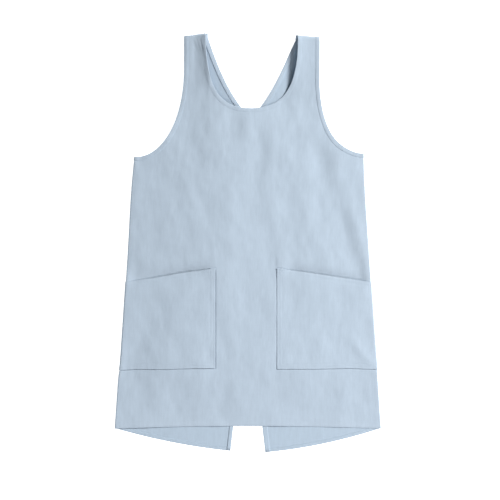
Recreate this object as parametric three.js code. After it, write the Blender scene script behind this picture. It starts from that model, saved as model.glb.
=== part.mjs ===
// A linen smock apron with crossed back straps, lying on its back with its front up.
// Millimetres: +X to the right of the front seen from above, +Y towards the shoulders, +Z up.
// Each piece is a flat pattern in places across and along the apron, which is then laid in its folds.

import * as THREE from "three";
import { mergeGeometries, mergeVertices } from "three/addons/utils/BufferGeometryUtils.js";

// Cloth
const CLOTH = 1; // wall of one layer of linen
const GAP = 0.3; // clear space between neighbouring pieces
const SEAM_GAP = 1.1; // and between the front and the backs, where they meet in a fold
const BAND_WIDTH = 7.5; // narrow band sewn round the curved edges
const BAND_RISE = 1; // the band is folded, so it stands one layer above its panel

// Front outline, as half widths from the centre line and heights along it
const SHOULDER_Y = 435; // fold over the shoulder, at the middle of the strap
const SHOULDER_TILT = 5; // the neck side of a strap's fold lies this much further up than its arm side
const NECK_HALF = 96.5;
const NECK_Y = 284;
const NECK_ROUND = 56; // how far the bottom of the neckline runs level
const NECK_PULL_Y = 310; // where the neckline has turned up along the strap
const STRAP_HALF = 142.5; // outer edge of the straps
const ARMHOLE_TOP_Y = 352; // below this the strap widens into the armhole
const ARMHOLE_PULL_Y = 250;
const ARMHOLE_ROUND = { across: 185, along: 181 }; // the pull at the rounded bottom of the armhole
const UNDERARM_HALF = 241.4;
const UNDERARM_Y = 179;
const HEM_HALF = 280.4;
const HEM_Y = -386.3;
const HEM_DROP = 5.2; // the hem's corners lie this far below its middle
const YOKE_Y = 120; // the net's row to the underarms starts here on the centre line
const LEAN = 8.2; // the straps lie this far to the right of the body
const LEAN_START = 70; // which leans between these heights
const LEAN_END = 380;
const UNDERARM_PULL = 8; // the right underarm lies this much further up than the left one
const PULL_ACROSS = { start: 150, end: 212 }; // and the cloth beside it is pulled between these places across
const PULL_ALONG = { start: -20, end: 178 }; // and these heights

// Back panels, in places across from the centre line towards the panel's own side
const TIP_HALF = 36; // lower corner at the open back edge
const TIP_Y = -438.5;
const BACK_HEM_BOW = 5; // how far the slanting back hem bows down
const BACK_EDGE_SLOPE = 0.117; // the open edge leans over the centre line
const BACK_EDGE_BEND_Y = -50; // above this the open edge bends away into the strap
const BACK_STRAP_REACH = STRAP_HALF; // across the centre line to the other shoulder
const BACK_NECK_HALF = 92; // the back strap shows this side of the front one
const BACK_NECK_ROUND = -15; // the neck edge of the back runs level to here
const BACK_NECK_PULL = { across: -50, along: 330 };
const STRAP_ROOT_Y = 120; // where the open edge becomes the strap's edge

// Pockets
const POCKETS = [
  { name: "pocket_left", side: -1, inner: 69 },
  { name: "pocket_right", side: 1, inner: 61.4 },
];
const POCKET_TOP_INNER_Y = -54;
const POCKET_TOP_OUTER_Y = -83.5;
const POCKET_BOTTOM_Y = -267;
const POCKET_CLEAR = 0.6; // space between pocket and front along the seams
const POCKET_OPEN = 6.6; // further space in the middle of the pocket
const POCKET_FILL = 0.45; // share of the pocket's depth in which it opens

// How the apron lies
const SIDE_FOLD = 3.5; // radius of the folded sides
const SHOULDER_FOLDS = {
  left: { arm: 4, neck: 9.2 }, // radius of the strap's fold at its arm and neck side
  right: { arm: 8, neck: 9.2 },
};
const SHOULDER_CURL = 2.5; // how late across the strap its fold widens towards the neck
const HEM_HEIGHT = 9; // top of the front at the middle of the hem
const CHEST_HEIGHT = 12; // and over the crossed straps
const SIDE_LOFT = 70; // the front falls to its folded sides over this distance
const STRAP_LOFT = 130; // and to the shoulders over this one
const OVER_LIFT = 2.4; // the left back panel lies this high over the right one
const OVER_CLEAR = 35; // it is up this far before it reaches the other panel's edge
const OVER_RAMP = 70; // and rises over this distance
const OVER_FOOT = { start: -250, end: -150 }; // below this the panels lie side by side on the floor

// Soft folds in the front: middle, turn from upright in degrees, half length, half width and height
const FRONT_FOLDS = [
  { across: 18, along: 100, turn: 0, length: 140, width: 26, height: -1.4 },
  { across: 72, along: 90, turn: 3, length: 130, width: 28, height: 1.5 },
  { across: 208, along: 25, turn: 15, length: 100, width: 26, height: -2.2 },
  { across: 152, along: 172, turn: 10, length: 38, width: 20, height: -1.4 },
  { across: -36, along: 252, turn: 0, length: 42, width: 22, height: -1 },
  { across: -112, along: 268, turn: 12, length: 45, width: 26, height: -1.2 },
  { across: -98, along: 116, turn: -8, length: 75, width: 28, height: 1.3 },
  { across: -150, along: 120, turn: -8, length: 75, width: 28, height: -1.3 },
  { across: -188, along: -331, turn: 70, length: 70, width: 16, height: 1 },
  { across: 150, along: -330, turn: -15, length: 70, width: 40, height: 1.2 },
];
const FOLD_FADE = 45; // the soft folds fade out over this distance from the folded sides

// Net of the cloth
const PANEL_COLUMNS = 9;
const BODY_ROWS = 10;
const YOKE_ROWS = 5; // between the underarm and the bottom of the neckline
const NECK_ROWS = 14;
const BACK_STRAP_ROWS = 16;
const TURN_STEPS = 4;
const POCKET_COLUMNS = 7;
const POCKET_ROWS = 6;
const PROBE = 0.01; // step for measuring the slope of a laid cloth

const BAND_INSET = BAND_WIDTH + GAP;
const { clamp, lerp, mapLinear, smoothstep, degToRad } = THREE.MathUtils;

const ease = (share) => smoothstep(share, 0, 1);
const sideAt = (along) => mapLinear(along, UNDERARM_Y, HEM_Y, UNDERARM_HALF, HEM_HALF);
const foldStartAt = (along) => sideAt(along) - SIDE_FOLD;

// Radius of the fold over the shoulder, which widens across the strap towards the neck.
function shoulderFold(across) {
  const { arm, neck } = across < 0 ? SHOULDER_FOLDS.left : SHOULDER_FOLDS.right;
  const toNeck = clamp(mapLinear(Math.abs(across), STRAP_HALF, NECK_HALF, 0, 1), 0, 1);
  return lerp(arm, neck, toNeck ** SHOULDER_CURL);
}

const shoulderStart = (across) => SHOULDER_Y - shoulderFold(across);

// Angle at each step round a fold, which stops half a gap before the seam.
function foldTurn(step, radius) {
  return (step / TURN_STEPS) * (Math.PI / 2 - SEAM_GAP / 2 / radius);
}

// The open edge of a back panel: a lean line that bends away into the strap.
function backEdgeAt(along) {
  const straight = TIP_HALF - BACK_EDGE_SLOPE * (along - TIP_Y);
  const strapEnd = TIP_HALF - BACK_EDGE_SLOPE * (SHOULDER_Y - TIP_Y) + BACK_STRAP_REACH;
  const bend = Math.max(0, along - BACK_EDGE_BEND_Y) / (SHOULDER_Y - BACK_EDGE_BEND_Y);
  return straight - strapEnd * bend * bend;
}

// The upper part leans a little, the right underarm is pulled up, and the straps' folds tilt up to the neck.
function settle(x, y, z) {
  const lean = LEAN * smoothstep(y, LEAN_START, LEAN_END);
  const pulledAcross = smoothstep(x, PULL_ACROSS.start, PULL_ACROSS.end);
  const pull = UNDERARM_PULL * pulledAcross * smoothstep(y, PULL_ALONG.start, PULL_ALONG.end);
  const outOfMiddle = Math.abs(x) - (NECK_HALF + STRAP_HALF) / 2;
  const tilt = (SHOULDER_TILT * outOfMiddle) / (STRAP_HALF - NECK_HALF);
  const nearShoulder = ease(1 - (SHOULDER_Y - y) / STRAP_LOFT);
  return new THREE.Vector3(x + lean, y + pull - tilt * nearShoulder, z);
}

function foldHeight(fold, across, along) {
  const turn = degToRad(fold.turn);
  const right = across - fold.across;
  const up = along - fold.along;
  const lengthwise = up * Math.cos(turn) - right * Math.sin(turn);
  const crosswise = up * Math.sin(turn) + right * Math.cos(turn);
  return fold.height * Math.exp(-((lengthwise / fold.length) ** 2) - (crosswise / fold.width) ** 2);
}

// Height of the front's upper side above the floor.
function frontHeight(across, along) {
  const fromSide = foldStartAt(along) - Math.abs(across);
  const upTheBody = Math.min(1, (along - HEM_Y) / (UNDERARM_Y - HEM_Y));
  const middle = lerp(HEM_HEIGHT, CHEST_HEIGHT, upTheBody);
  const soft = FRONT_FOLDS.reduce((sum, fold) => sum + foldHeight(fold, across, along), 0);
  const lofted = lerp(middle, 2 * SIDE_FOLD, ease(1 - fromSide / SIDE_LOFT));
  const body = lofted + soft * ease(fromSide / FOLD_FADE);
  const toShoulder = shoulderStart(across) - along;
  return lerp(body, 2 * shoulderFold(across), ease(1 - toShoulder / STRAP_LOFT));
}

// The front's upper side, turned down at the folded sides and over the shoulders.
function frontSurface(across, along) {
  const side = across < 0 ? -1 : 1;
  const flat = Math.min(Math.abs(across), foldStartAt(along));
  const level = Math.min(along, shoulderStart(across));
  const sideTurn = (Math.abs(across) - flat) / SIDE_FOLD;
  const shoulderTurn = (along - level) / shoulderFold(across);
  const top = frontHeight(side * flat, level);
  const x = side * (flat + SIDE_FOLD * Math.sin(sideTurn));
  const y = level + shoulderFold(across) * Math.sin(shoulderTurn);
  return settle(x, y, (top / 2) * (Math.cos(sideTurn) + Math.cos(shoulderTurn)));
}

// The left back panel lies over the right one where they cross.
function overLift(across, along) {
  const insideOther = across - backEdgeAt(along);
  const aboveFoot = smoothstep(along, OVER_FOOT.start, OVER_FOOT.end);
  return OVER_LIFT * aboveFoot * ease((insideOther + OVER_CLEAR + OVER_RAMP) / OVER_RAMP);
}

// A back panel's lower side: flat on the floor, turned up at its side and at the far shoulder.
function backSurface(side) {
  return (across, along) => {
    const flat = Math.min(side * across, foldStartAt(along));
    const level = Math.min(along, shoulderStart(across));
    const sideTurn = (side * across - flat) / SIDE_FOLD;
    const shoulderTurn = (along - level) / shoulderFold(across);
    const base = side < 0 ? overLift(across, level) : 0;
    const x = side * (flat + SIDE_FOLD * Math.sin(sideTurn));
    const y = level + shoulderFold(across) * Math.sin(shoulderTurn);
    const sideRise = (SIDE_FOLD - base) * (1 - Math.cos(sideTurn));
    const shoulderRise = (shoulderFold(across) - base) * (1 - Math.cos(shoulderTurn));
    return settle(x, y, base + sideRise + shoulderRise);
  };
}

// A point lifted off a laid surface, square to it.
function layOn(surface, place, lift) {
  const point = surface(place.across, place.along);
  const right = surface(place.across + PROBE, place.along).sub(surface(place.across - PROBE, place.along));
  const up = surface(place.across, place.along + PROBE).sub(surface(place.across, place.along - PROBE));
  return point.addScaledVector(right.cross(up).normalize(), lift);
}

// One net of cloth: placeAt(column, row) gives a pattern place, with the lifts of its two faces.
function clothNet(surface, columns, rows, placeAt) {
  const net = new THREE.PlaneGeometry(columns, rows, columns, rows);
  const knots = net.getAttribute("position");
  const inner = knots.clone();
  for (let i = 0; i < knots.count; i += 1) {
    const place = placeAt(Math.round(knots.getX(i) + columns / 2), Math.round(knots.getY(i) + rows / 2));
    knots.setXYZ(i, ...layOn(surface, place, place.outer).toArray());
    inner.setXYZ(i, ...layOn(surface, place, place.inner).toArray());
  }
  net.deleteAttribute("normal");
  net.deleteAttribute("uv");
  net.setAttribute("inner", inner);
  if (facesInward(net)) {
    net.index.array.reverse();
  }
  return net;
}

function facesInward(net) {
  const [a, b, c] = [0, 1, 2].map((corner) => net.index.getX(corner));
  const cornerOf = (side, i) => new THREE.Vector3().fromBufferAttribute(net.getAttribute(side), i);
  const outer = [a, b, c].map((i) => cornerOf("position", i));
  const under = cornerOf("inner", a);
  const normal = outer[1].clone().sub(outer[0]).cross(outer[2].clone().sub(outer[0]));
  return normal.dot(outer[0].clone().sub(under)) < 0;
}

// Sews nets together and closes their outer and inner faces into one wall along every free edge.
function clothWall(nets) {
  const sewn = mergeVertices(mergeGeometries(nets), 1e-3);
  const outer = Array.from(sewn.getAttribute("position").array);
  const inner = Array.from(sewn.getAttribute("inner").array);
  const count = outer.length / 3;
  const edges = new Set();
  const triangles = [];
  for (let i = 0; i < sewn.index.count; i += 3) {
    const [a, b, c] = [0, 1, 2].map((corner) => sewn.index.getX(i + corner));
    triangles.push(a, b, c, a + count, c + count, b + count);
    [[a, b], [b, c], [c, a]].forEach(([from, to]) => edges.add(`${from} ${to}`));
  }
  for (const edge of edges) {
    const [from, to] = edge.split(" ").map(Number);
    if (!edges.has(`${to} ${from}`)) {
      triangles.push(from, from + count, to + count, from, to + count, to);
    }
  }
  const wall = new THREE.BufferGeometry();
  wall.setAttribute("position", new THREE.Float32BufferAttribute([...outer, ...inner], 3));
  wall.setIndex(triangles);
  wall.computeVertexNormals();
  return wall;
}

// Places along a curved edge, each with the direction into the panel. turn is 1 if that is on the left.
function edgePlaces(curve, steps, turn) {
  return Array.from({ length: steps + 1 }, (_, step) => {
    const point = curve.getPointAt(step / steps);
    const ahead = curve.getTangentAt(step / steps);
    return { across: point.x, along: point.y, inAcross: -turn * ahead.y, inAlong: turn * ahead.x };
  });
}

function inset(place, distance) {
  const across = place.across + place.inAcross * distance;
  const along = place.along + place.inAlong * distance;
  return { across, along };
}

// Places round the folded side at the underarm, from the seam inwards.
function underarmTurn() {
  const steps = Array.from({ length: TURN_STEPS }, (_, step) => TURN_STEPS - step);
  return steps.map((step) => {
    const across = foldStartAt(UNDERARM_Y) + SIDE_FOLD * foldTurn(step, SIDE_FOLD);
    return { across, along: UNDERARM_Y, inAcross: 0, inAlong: -1 };
  });
}

// How far along the pattern a step round the shoulder's fold lies.
function overShoulderAt(across, step) {
  const radius = shoulderFold(across);
  return shoulderStart(across) + radius * foldTurn(step, radius);
}

// Places over the shoulder's fold on the given side, up to the seam.
function shoulderTurnPlaces(across, side, inAcross) {
  const steps = Array.from({ length: TURN_STEPS }, (_, step) => step + 1);
  return steps.map((step) => {
    return { across, along: overShoulderAt(side * across, step), inAcross, inAlong: 0 };
  });
}

function cubic(start, pullStart, pullEnd, end) {
  const points = [start, pullStart, pullEnd, end].map((place) => new THREE.Vector2(...place));
  return new THREE.CubicBezierCurve(...points);
}

function necklinePlaces(side) {
  const end = [NECK_HALF, shoulderStart(side * NECK_HALF)];
  const curve = cubic([0, NECK_Y], [NECK_ROUND, NECK_Y], [NECK_HALF, NECK_PULL_Y], end);
  const centre = { across: 0, along: NECK_Y, inAcross: 0, inAlong: -1 };
  return [centre, ...edgePlaces(curve, NECK_ROWS, -1).slice(1)];
}

function armholePlaces(side) {
  const strapFoot = [STRAP_HALF, ARMHOLE_TOP_Y];
  const underarm = [foldStartAt(UNDERARM_Y), UNDERARM_Y];
  const curve = new THREE.CurvePath();
  const round = [ARMHOLE_ROUND.across, ARMHOLE_ROUND.along];
  curve.add(cubic(underarm, round, [STRAP_HALF, ARMHOLE_PULL_Y], strapFoot));
  const strapTop = new THREE.Vector2(STRAP_HALF, shoulderStart(side * STRAP_HALF));
  curve.add(new THREE.LineCurve(new THREE.Vector2(...strapFoot), strapTop));
  const [first, ...others] = edgePlaces(curve, YOKE_ROWS + NECK_ROWS, 1);
  return [{ ...first, inAcross: 0, inAlong: -1 }, ...others];
}

function backNeckPlaces(side) {
  const underarm = [foldStartAt(UNDERARM_Y), UNDERARM_Y];
  const pull = [BACK_NECK_PULL.across, BACK_NECK_PULL.along];
  const end = [-BACK_NECK_HALF, shoulderStart(-side * BACK_NECK_HALF)];
  return edgePlaces(cubic(underarm, [BACK_NECK_ROUND, UNDERARM_Y], pull, end), BACK_STRAP_ROWS, 1);
}

// The nets of a panel between two edges, row by row, and round its side and its shoulder.
function panelNets(surface, side, faces, middleEdge, sideEdge, strapEnd) {
  const rows = sideEdge.length - 1;
  const between = (column, row) => {
    const share = column / PANEL_COLUMNS;
    const across = lerp(middleEdge[row].across, sideEdge[row].across, share);
    const bow = (middleEdge[row].bow ?? 0) * 4 * share * (1 - share);
    const along = lerp(middleEdge[row].along, sideEdge[row].along, share) - bow;
    return { across: side * across, along, ...faces };
  };
  const roundSide = (column, row) => {
    const across = sideEdge[row].across + SIDE_FOLD * foldTurn(column, SIDE_FOLD);
    return { across: side * across, along: sideEdge[row].along, ...faces };
  };
  const overShoulder = (column, row) => {
    const across = side * lerp(strapEnd.middle, strapEnd.outer, column / PANEL_COLUMNS);
    const along = overShoulderAt(across, row);
    return row === 0 ? between(column, rows) : { across, along, ...faces };
  };
  return [
    clothNet(surface, PANEL_COLUMNS, rows, between),
    clothNet(surface, TURN_STEPS, BODY_ROWS, roundSide),
    clothNet(surface, PANEL_COLUMNS, TURN_STEPS, overShoulder),
  ];
}

// The side of a panel from its hem to the band at the underarm.
function sideSeamPlaces() {
  return Array.from({ length: BODY_ROWS + 1 }, (_, row) => {
    const along = lerp(HEM_Y - HEM_DROP, UNDERARM_Y - BAND_INSET, row / BODY_ROWS);
    return { across: foldStartAt(along), along };
  });
}

function frontNets(side) {
  const faces = { outer: 0, inner: -CLOTH };
  const centre = Array.from({ length: BODY_ROWS + YOKE_ROWS }, (_, row) => {
    const upTheBody = Math.min(1, row / BODY_ROWS);
    const upTheYoke = Math.max(0, row - BODY_ROWS) / YOKE_ROWS;
    const along = lerp(lerp(HEM_Y, YOKE_Y, upTheBody), NECK_Y - BAND_INSET, upTheYoke);
    return { across: 0, along, bow: (-HEM_DROP / 4) * (1 - upTheBody) };
  });
  const insetEdge = (places) => places.map((place) => inset(place, BAND_INSET));
  const middleEdge = [...centre, ...insetEdge(necklinePlaces(side))];
  const sideEdge = [...sideSeamPlaces(), ...insetEdge(armholePlaces(side).slice(1))];
  const strapEnd = { middle: NECK_HALF + BAND_INSET, outer: STRAP_HALF - BAND_INSET };
  return panelNets(frontSurface, side, faces, middleEdge, sideEdge, strapEnd);
}

function backNets(side) {
  const faces = { outer: 0, inner: CLOTH };
  const openEdge = Array.from({ length: BODY_ROWS + BACK_STRAP_ROWS + 1 }, (_, row) => {
    const upTheBody = Math.min(1, row / BODY_ROWS);
    const upTheStrap = Math.max(0, row - BODY_ROWS) / BACK_STRAP_ROWS;
    const along = lerp(lerp(TIP_Y, STRAP_ROOT_Y, upTheBody), shoulderStart(-side * STRAP_HALF), upTheStrap);
    return { across: backEdgeAt(along), along, bow: BACK_HEM_BOW * (1 - upTheBody) ** 2 };
  });
  const neckEdge = backNeckPlaces(side).slice(1).map((place) => inset(place, BAND_INSET));
  const sideEdge = [...sideSeamPlaces(), ...neckEdge];
  const strapEnd = { middle: -STRAP_HALF, outer: -BACK_NECK_HALF - BAND_INSET };
  return panelNets(backSurface(side), side, faces, openEdge, sideEdge, strapEnd);
}

function pocketNets(pocket) {
  const edgeAt = (row) => {
    const inner = lerp(POCKET_BOTTOM_Y, POCKET_TOP_INNER_Y, row / POCKET_ROWS);
    const outer = lerp(POCKET_BOTTOM_Y, POCKET_TOP_OUTER_Y, row / POCKET_ROWS);
    return { inner, outer };
  };
  const bag = (column, row) => {
    const share = column / POCKET_COLUMNS;
    const { inner, outer } = edgeAt(row);
    const across = lerp(pocket.inner, foldStartAt(outer), share);
    const open = POCKET_OPEN * Math.sin(Math.PI * share) * ease(row / POCKET_ROWS / POCKET_FILL);
    const clear = POCKET_CLEAR + open;
    const along = lerp(inner, outer, share);
    return { across: pocket.side * across, along, outer: clear + CLOTH, inner: clear };
  };
  const roundSide = (column, row) => {
    const along = edgeAt(row).outer;
    const across = foldStartAt(along) + SIDE_FOLD * foldTurn(column, SIDE_FOLD);
    return { across: pocket.side * across, along, outer: POCKET_CLEAR + CLOTH, inner: POCKET_CLEAR };
  };
  return [
    clothNet(frontSurface, POCKET_COLUMNS, POCKET_ROWS, bag),
    clothNet(frontSurface, TURN_STEPS, POCKET_ROWS, roundSide),
  ];
}

// A band from a curved edge to its width inside it.
function bandNet(surface, side, faces, places) {
  return clothNet(surface, 1, places.length - 1, (column, row) => {
    const place = inset(places[row], column * BAND_WIDTH);
    return { across: side * place.across, along: place.along, ...faces };
  });
}

function neckBandNet(side) {
  const places = [...necklinePlaces(side), ...shoulderTurnPlaces(NECK_HALF, side, 1)];
  return bandNet(frontSurface, side, { outer: BAND_RISE, inner: -CLOTH }, places);
}

function armholeBandNet(side) {
  const overShoulder = shoulderTurnPlaces(STRAP_HALF, side, -1);
  const places = [...underarmTurn(), ...armholePlaces(side), ...overShoulder];
  return bandNet(frontSurface, side, { outer: BAND_RISE, inner: -CLOTH }, places);
}

function backBandNet(side) {
  const overShoulder = shoulderTurnPlaces(-BACK_NECK_HALF, side, -1);
  const places = [...underarmTurn(), ...backNeckPlaces(side), ...overShoulder];
  return bandNet(backSurface(side), side, { outer: 0, inner: CLOTH + BAND_RISE }, places);
}

const COLOURS = { panel: 0xb9cad9, pocket: 0xb9cad9, back: 0xb3c5d5, band: 0xb4c3cf };

function piece(name, colour, nets) {
  const material = new THREE.MeshStandardMaterial({ color: colour, roughness: 0.9, metalness: 0 });
  const mesh = new THREE.Mesh(clothWall(nets), material);
  mesh.name = name;
  return mesh;
}

const apron = new THREE.Group();
apron.add(piece("front_panel", COLOURS.panel, [-1, 1].flatMap(frontNets)));
apron.add(piece("neck_band", COLOURS.band, [-1, 1].map(neckBandNet)));
for (const pocket of POCKETS) {
  apron.add(piece(pocket.name, COLOURS.pocket, pocketNets(pocket)));
}
for (const [word, side] of [["left", -1], ["right", 1]]) {
  apron.add(piece(`back_panel_${word}`, COLOURS.back, backNets(side)));
  apron.add(piece(`armhole_band_${word}`, COLOURS.band, [armholeBandNet(side)]));
  apron.add(piece(`back_band_${word}`, COLOURS.band, [backBandNet(side)]));
}

export default apron;
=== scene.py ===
import math
from collections import namedtuple

import bmesh
import bpy
import numpy as np
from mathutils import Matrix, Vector, noise


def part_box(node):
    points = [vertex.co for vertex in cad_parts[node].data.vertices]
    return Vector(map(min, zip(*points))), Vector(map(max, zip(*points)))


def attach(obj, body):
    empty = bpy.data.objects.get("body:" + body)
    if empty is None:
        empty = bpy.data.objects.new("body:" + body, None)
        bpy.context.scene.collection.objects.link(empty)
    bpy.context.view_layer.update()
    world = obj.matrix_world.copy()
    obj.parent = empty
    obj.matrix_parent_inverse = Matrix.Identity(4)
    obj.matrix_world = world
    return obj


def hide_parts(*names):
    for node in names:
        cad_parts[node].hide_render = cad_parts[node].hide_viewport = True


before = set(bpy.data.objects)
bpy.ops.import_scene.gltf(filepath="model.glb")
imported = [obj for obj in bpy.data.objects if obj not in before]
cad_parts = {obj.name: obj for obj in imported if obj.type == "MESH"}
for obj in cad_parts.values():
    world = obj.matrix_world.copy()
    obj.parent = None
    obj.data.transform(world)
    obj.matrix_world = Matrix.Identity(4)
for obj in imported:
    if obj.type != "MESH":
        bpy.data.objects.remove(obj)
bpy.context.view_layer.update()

MM = 0.001
back_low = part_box("back_panel_left")[0] / MM

# Cloth
CLOTH = 0.45  # thickness of one layer of linen
PANEL_DEPTH = 0.35  # middle of a panel's cloth under the skin of its solid
FOLD_RADIUS = 0.26  # middle of the cloth where an edge is turned
BAND_WIDTH = 8.4
BAND_TUCK = 1.5  # a panel's edge reaches this far into its band
BAND_INSET = BAND_WIDTH - BAND_TUCK
HEM_WIDTH = 14.0  # turned hem at the bottom
BACK_HEM_WIDTH = 7.0  # narrower one of the backs
EDGE_WIDTHS = {-1: 8.0, 1: 10.0}  # turned edge down each side of the open back
MOUTH_WIDTH = 8.0  # turned hem of a pocket's mouth
POCKET_TURN = 12.0  # turned edge along a pocket's seams

# Front outline, as half widths from the centre line and heights along it
SHOULDER_Y = 435.0
SHOULDER_TILTS = {-1: 4.4, 1: 3.6}  # a strap's fold lies this much further up at the neck than at the arm
SHOULDER_SHIFTS = {-1: 2.3, 1: -1.3}  # and each strap's end this much further up
NECK_HALF = 96.5
NECK_Y = 282.2
NECK_ROUND = 56.0  # pull of the neckline's curve at its lowest point
NECK_PULL_Y = 310.0  # and at the straps
STRAP_HALF = 142.5
# Where an armhole leaves its strap, and its curve's pulls beside the strap and at the underarm
Armhole = namedtuple("Armhole", "top pull round")
ARMHOLES = {-1: Armhole(362.0, 256.0, (181.0, 178.0)), 1: Armhole(352.0, 250.0, (185.0, 181.0))}
UNDERARM_HALF = 241.4
UNDERARM_Y = 179.0
HEM_HALF = 280.4
HEM_Y = -386.3
HEM_DROP = 5.2  # the hem's corners lie this far below its middle
YOKE_Y = 120.0  # rows of the net are level up to here
LEAN = 8.2  # the straps lie this far to the right of the body
LEAN_ALONG = (70.0, 380.0)
UNDERARM_PULLS = {-1: 1.5, 1: 8.0}  # each underarm is pulled up by this
PULL_ACROSS = (150.0, 212.0)  # where that grows, across
PULL_ALONG = (-20.0, 178.0)  # and along
SIDE_DRAWN = 2.3  # the left side is drawn in by this beside its pocket
DRAWN_FOOT = (-290.0, -255.0)  # where that starts
DRAWN_TOP = (-70.0, 150.0)  # and ends

# Back panels
TIP_HALF = 37.0  # from the centre line to each panel's tip
TIP_YS = {-1: back_low.y, 1: back_low.y - 3.2}  # the right tip lies lower
BACK_HEM_BOWS = {-1: 5.6, 1: 7.0}  # a hem hangs this far below a straight line
BACK_EDGE_SLOPE = 0.117  # spread of the open edges on their way down
BACK_EDGE_BEND_Y = -50.0  # they bend away to the shoulders above here
BACK_NECK_HALF = 92.0
BACK_NECK_ROUND = -15.0  # pull of the neck edge's curve at the underarm
BACK_NECK_PULLS = {-1: (-45.5, 329.0), 1: (-68.0, 355.0)}  # and at the shoulder
STRAP_ROOT_Y = 120.0  # the strap's own rows start here

# Pockets
POCKET_INNER = {-1: 69.0, 1: 61.4}
POCKET_TOP_INNER_Y = -54.0
POCKET_TOP_OUTER_Y = -83.5
POCKET_BOTTOM_Y = -267.0
POCKET_DEPTH = POCKET_TOP_INNER_Y - POCKET_BOTTOM_Y
POCKET_LIFT = 0.5  # middle of a pocket's cloth above the front at its seams
POCKET_OPEN = 1.4  # further space in the middle of the mouth
POCKET_FILL = 0.9  # share of the pocket's depth over which that space grows
POCKET_STIFFS = {-1: 0.55, 1: 0.65}  # share of the front's dip at the mouth that the pocket spans
# Places across, and how far the cloth there is drawn up along the bottoms of the pockets
PULL_PLACES = (-262, -240, -170, -110, -60, 60, 150, 210, 262)
PULL_HEIGHTS = (-1.0, 0.6, 1.0, 3.2, 3.0, 1.6, 1.8, 3.2, 1.4)
POCKET_PULL_REACH = 50.0
# How much more a pocket stands up at its inner lower and upper corners, and how far that reaches
CORNER_LIFTS = {-1: (0.8, 0.0), 1: (0.3, 1.3)}
CORNER_REACHES = (40.0, 18.0)

# Bands
BAND_STITCHES = 7.2  # inset of the row of stitches that holds a band
BAND_GROOVE = 0.34  # height of their groove
NECK_BAND_SKIN = -0.38  # the neck's band lies flatter on the front
BACK_BAND_SKIN = 1.15  # a back band lies on the inner side of its panel
# Section round the bound edge: inset from it, and height over the panel's skin
BAND_SECTION = [
    (0.0, -0.3),
    (0.05, 0.2),
    (0.25, 0.46),
    (0.8, 0.55),
    (5.6, 0.58),
    (6.6, 0.5),
    (BAND_STITCHES, BAND_GROOVE),
    (7.7, 0.5),
    (8.1, 0.48),
    (BAND_WIDTH, 0.25),
    (BAND_WIDTH, -0.4),
    (8.2, -0.8),
    (7.3, -1.0),
    (1.5, -1.0),
    (0.45, -0.9),
    (0.1, -0.7),
]

# Stitches
STITCH_PITCH = 3.0
STITCH_SIZE = (2.3, 0.55, 0.4)  # length, width and height of the thread that shows
STITCH_SLANT = 0.12  # how much a stitch turns out of its row
STITCH_PULL = 0.16  # depth to which a row draws the cloth in
STITCH_PULL_WIDTH = 1.0
POCKET_STITCHES = (5.0, 10.5)  # distances of the two rows from a pocket's sewn edges
EDGE_STITCHES = 1.5  # distance from the free side of a turned edge
HEM_STITCHES = HEM_WIDTH - EDGE_STITCHES
BACK_HEM_STITCHES = BACK_HEM_WIDTH - EDGE_STITCHES
MOUTH_STITCHES = MOUTH_WIDTH - 1.0
FRONT_SKIN = CLOTH / 2 - PANEL_DEPTH  # outer side of the front's cloth
BACK_SKIN = PANEL_DEPTH + 2 * FOLD_RADIUS + CLOTH / 2  # inner side of a back's turned edge

# How the apron lies
SIDE_REACH = 2.5  # how far a folded side stands out from the flat cloth
SIDE_TOPS = {-1: 5.2, 1: 11.0}  # height of the front where its sides fold down
HEM_SIDE_TOPS = {-1: 4.2, 1: 3.0}  # and at the hem's corners
SIDE_ROLLS = {-1: 2.0, 1: -0.5}  # above the pockets the front rises this much more beside the fold
LOW_ROLLS = {-1: -0.8, 1: -0.5}  # and this much below their mouths
ROLL_WIDTH = 10.0  # distance from the fold over which that rise grows
ROLL_FADE = 40.0  # and over which it fades again
ROLL_FOOT = (-90.0, -30.0)  # from the lower rise to the upper one
# Radius of a strap's fold at the arm and at the neck, and how much narrower the arm's edge is
ShoulderFold = namedtuple("ShoulderFold", "arm neck droop")
SHOULDER_FOLDS = {-1: ShoulderFold(4.4, 8.4, 1.3), 1: ShoulderFold(8.6, 10.0, 0.0)}
SHOULDER_CURL = 1.7  # how late that widens towards the neck
SHOULDER_FLAT = 0.42  # share of the strap at its arm side that doesn't widen
SHOULDER_WIDEST = 1.3  # it goes on widening past the strap
STRAP_RISE = 8.5  # the left back strap rises to its neck edge
STRAP_RISE_WIDTH = 42.0  # across this much of its width
STRAP_RISE_LOFT = 200.0  # and over this distance from the shoulder
BAND_FALL = 0.08  # slope of the band there, down to the neck edge
STRAP_PILLOW = 3.0  # the right one lies up under the neckline
PILLOW_Y = 315.0
PILLOW_REACH = 60.0
NECK_CURL = 0.6  # the left half of the front's neck edge turns up by this
NECK_CURL_WIDTH = 11.0
HEM_TOP = 2.6  # height of the front at its hem
HEM_LOFT = 130.0  # distance over which it rises from there
BODY_HEIGHT = 12.0  # height of the middle of the front above the hem
CHEST_HEIGHT = 11.0  # and at the chest
SIDE_LOFT = 150.0  # distance over which it rises from the sides
STRAP_LOFT = 165.0  # length of a strap that lies as its shoulder does
STRAP_LOFTS = (165.0, 136.0)  # distances over which the front rises to each shoulder
LOFT_CHANGE = (-60.0, 60.0)  # from the one to the other
OVER_LIFT = 2.4  # the left back lies this high over the right one
OVER_CLEAR = 35.0  # it is up this far before the right one's edge
OVER_RAMP = 70.0  # distance over which it rises
OVER_FOOT = (-250.0, -150.0)  # it lies flat below these
PROBE = 0.05  # step for measuring the slope of a laid cloth

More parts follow.
